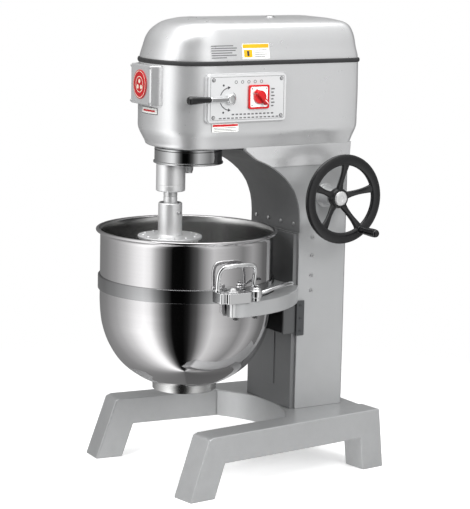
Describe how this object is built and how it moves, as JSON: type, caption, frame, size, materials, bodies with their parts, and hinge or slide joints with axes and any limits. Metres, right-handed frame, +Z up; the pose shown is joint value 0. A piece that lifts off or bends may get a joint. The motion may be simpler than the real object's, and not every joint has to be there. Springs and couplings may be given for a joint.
{
  "type": "commercial stand mixer",
  "caption": "Floor-standing planetary food mixer with a lift-off bowl on a handwheel-raised yoke, belt and gear drive in the head and a wire whisk.",
  "frame": {"origin": "on the floor, under the middle of the machine's bounding box", "axes": "+Z up; -Y toward the front, where the bowl and the round nose of the head are; +X toward the handwheel and control panel"},
  "size_m": [0.53, 0.7004, 1.1405],
  "materials": {
    "silver_paint": "silver-grey metallic enamel, semi-gloss",
    "head_paint": "light silver-grey metallic enamel, semi-gloss",
    "dark_paint": "dark grey satin enamel",
    "panel_alu": "satin anodised, printed",
    "rubber_black": "matt black",
    "badge_red": "red disc without any mark",
    "bowl_steel": "polished stainless steel",
    "chrome": "bright plated",
    "drum_chrome": "mirror plated",
    "turned_steel": "satin machined steel",
    "gear_steel": "oiled machined steel",
    "black_gloss": "glossy black",
    "black_iron": "blackened, oiled",
    "way_steel": "dark ground steel",
    "motor_paint": "blue-grey enamel",
    "nut_bronze": "machined bronze",
    "switch_red": "glossy red",
    "switch_white": "white",
    "plug_steel": "satin cap",
    "wheel_black": "glossy black enamel on a cast wheel"
  },
  "bodies": {
    "frame": {"base_frame": "silver_paint", "column": "silver_paint", "rear_cover": "silver_paint", "cable_gland": "rubber_black", "head_casting": "head_paint", "cover_seal": "rubber_black", "top_cover": "head_paint", "vent_plug": "plug_steel", "neck_cover": "dark_paint", "control_panel": "panel_alu", "switch_frame": "switch_red", "switch_plate": "switch_white", "badge_disc": "badge_red", "ring_gear": "gear_steel", "main_bearing": "gear_steel", "gearbox_plate": "gear_steel", "input_bearing": "gear_steel", "motor": "motor_paint", "v_belt": "rubber_black", "slide_ways": "way_steel", "screw_foot_bearing": "gear_steel", "screw_top_bearing": "gear_steel", "handwheel_boss": "silver_paint"},
    "planetary": {"main_shaft": "gear_steel", "main_gear": "gear_steel", "planet_drum": "drum_chrome", "drum_nut": "gear_steel", "spindle_housing": "turned_steel"},
    "agitator": {"agitator_shaft": "turned_steel", "planet_pinion": "gear_steel", "tool_hub": "turned_steel", "whisk_wires": "turned_steel"},
    "input_drive": {"input_shaft": "gear_steel", "input_pinion": "gear_steel", "driven_pulley": "gear_steel"},
    "motor_rotor": {"motor_shaft": "gear_steel", "motor_pulley": "gear_steel"},
    "hand_drive": {"handwheel": "wheel_black", "hub_cap": "turned_steel", "handwheel_shaft": "gear_steel", "shaft_bevel_gear": "gear_steel", "crank_spindle": "gear_steel"},
    "crank_handle": {"crank_grip": "black_gloss"},
    "screw_drive": {"lift_screw": "gear_steel", "screw_bevel_gear": "gear_steel"},
    "carriage": {"yoke": "silver_paint", "lift_saddle": "black_iron", "gib_right": "way_steel", "gib_left": "way_steel", "lift_nut": "nut_bronze"},
    "clamp_right": {"clamp_lever_right": "chrome"},
    "clamp_left": {"clamp_lever_left": "chrome"},
    "bowl_unit": {"bowl": "bowl_steel", "bowl_foot": "bowl_steel", "bowl_band": "bowl_steel", "bowl_handle_right": "chrome", "bowl_handle_left": "chrome"},
    "gear_lever": {"shift_lever": "chrome", "shift_grip": "black_gloss"},
    "switch": {"switch_knob": "switch_red"}
  },
  "joints": [
    {"name": "planetary_turn", "type": "hinge", "parent": "frame", "child": "planetary", "pos_m": [0, -0.12521, 0.8], "axis": [0, 0, 1], "continuous": true},
    {"name": "agitator_turn", "type": "hinge", "parent": "planetary", "child": "agitator", "pos_m": [0, -0.1742, 0.7], "axis": [0, 0, 1], "continuous": true},
    {"name": "input_turn", "type": "hinge", "parent": "frame", "child": "input_drive", "pos_m": [0, -0.03521, 0.9], "axis": [0, 0, 1], "continuous": true},
    {"name": "motor_turn", "type": "hinge", "parent": "frame", "child": "motor_rotor", "pos_m": [0, 0.16479, 0.96], "axis": [0, 0, 1], "continuous": true},
    {"name": "handwheel_turn", "type": "hinge", "parent": "frame", "child": "hand_drive", "pos_m": [0.16, 0.21099, 0.697], "axis": [1, 0, 0], "range_deg": [0, 5400]},
    {"name": "crank_grip_spin", "type": "hinge", "parent": "hand_drive", "child": "crank_handle", "pos_m": [0.23, 0.26274, 0.61733], "axis": [1, 0, 0], "continuous": true},
    {"name": "screw_turn", "type": "hinge", "parent": "frame", "child": "screw_drive", "pos_m": [0, 0.21099, 0.4], "axis": [0, 0, 1], "range_deg": [0, 5400]},
    {"name": "bowl_lift", "type": "slide", "parent": "frame", "child": "carriage", "axis": [0, 0, 1], "range_m": [-0.15, 0]},
    {"name": "clamp_right_swing", "type": "hinge", "parent": "carriage", "child": "clamp_right", "pos_m": [0.243, -0.07321, 0.49], "axis": [0, 0, 1], "range_deg": [-100, 0]},
    {"name": "clamp_left_swing", "type": "hinge", "parent": "carriage", "child": "clamp_left", "pos_m": [-0.243, -0.07321, 0.49], "axis": [0, 0, 1], "range_deg": [0, 100]},
    {"name": "bowl_lift_off", "type": "slide", "parent": "carriage", "child": "bowl_unit", "axis": [0, 0, 1], "range_m": [0, 0.012]},
    {"name": "gear_shift", "type": "hinge", "parent": "frame", "child": "gear_lever", "pos_m": [0.14, -0.096, 0.9513], "axis": [1, 0, 0], "range_deg": [-35, 35]},
    {"name": "switch_turn", "type": "hinge", "parent": "frame", "child": "switch", "pos_m": [0.15, -0.0147, 0.954], "axis": [1, 0, 0], "range_deg": [0, 90]}
  ],
  "couplings": [
    {"joint": "agitator_turn", "follows": "planetary_turn", "ratio": -2.75},
    {"joint": "input_turn", "follows": "planetary_turn", "ratio": -3},
    {"joint": "motor_turn", "follows": "planetary_turn", "ratio": -6.6},
    {"joint": "screw_turn", "follows": "handwheel_turn", "ratio": 1},
    {"joint": "bowl_lift", "follows": "handwheel_turn", "m_per_rad": -0.0015915}
  ]
}
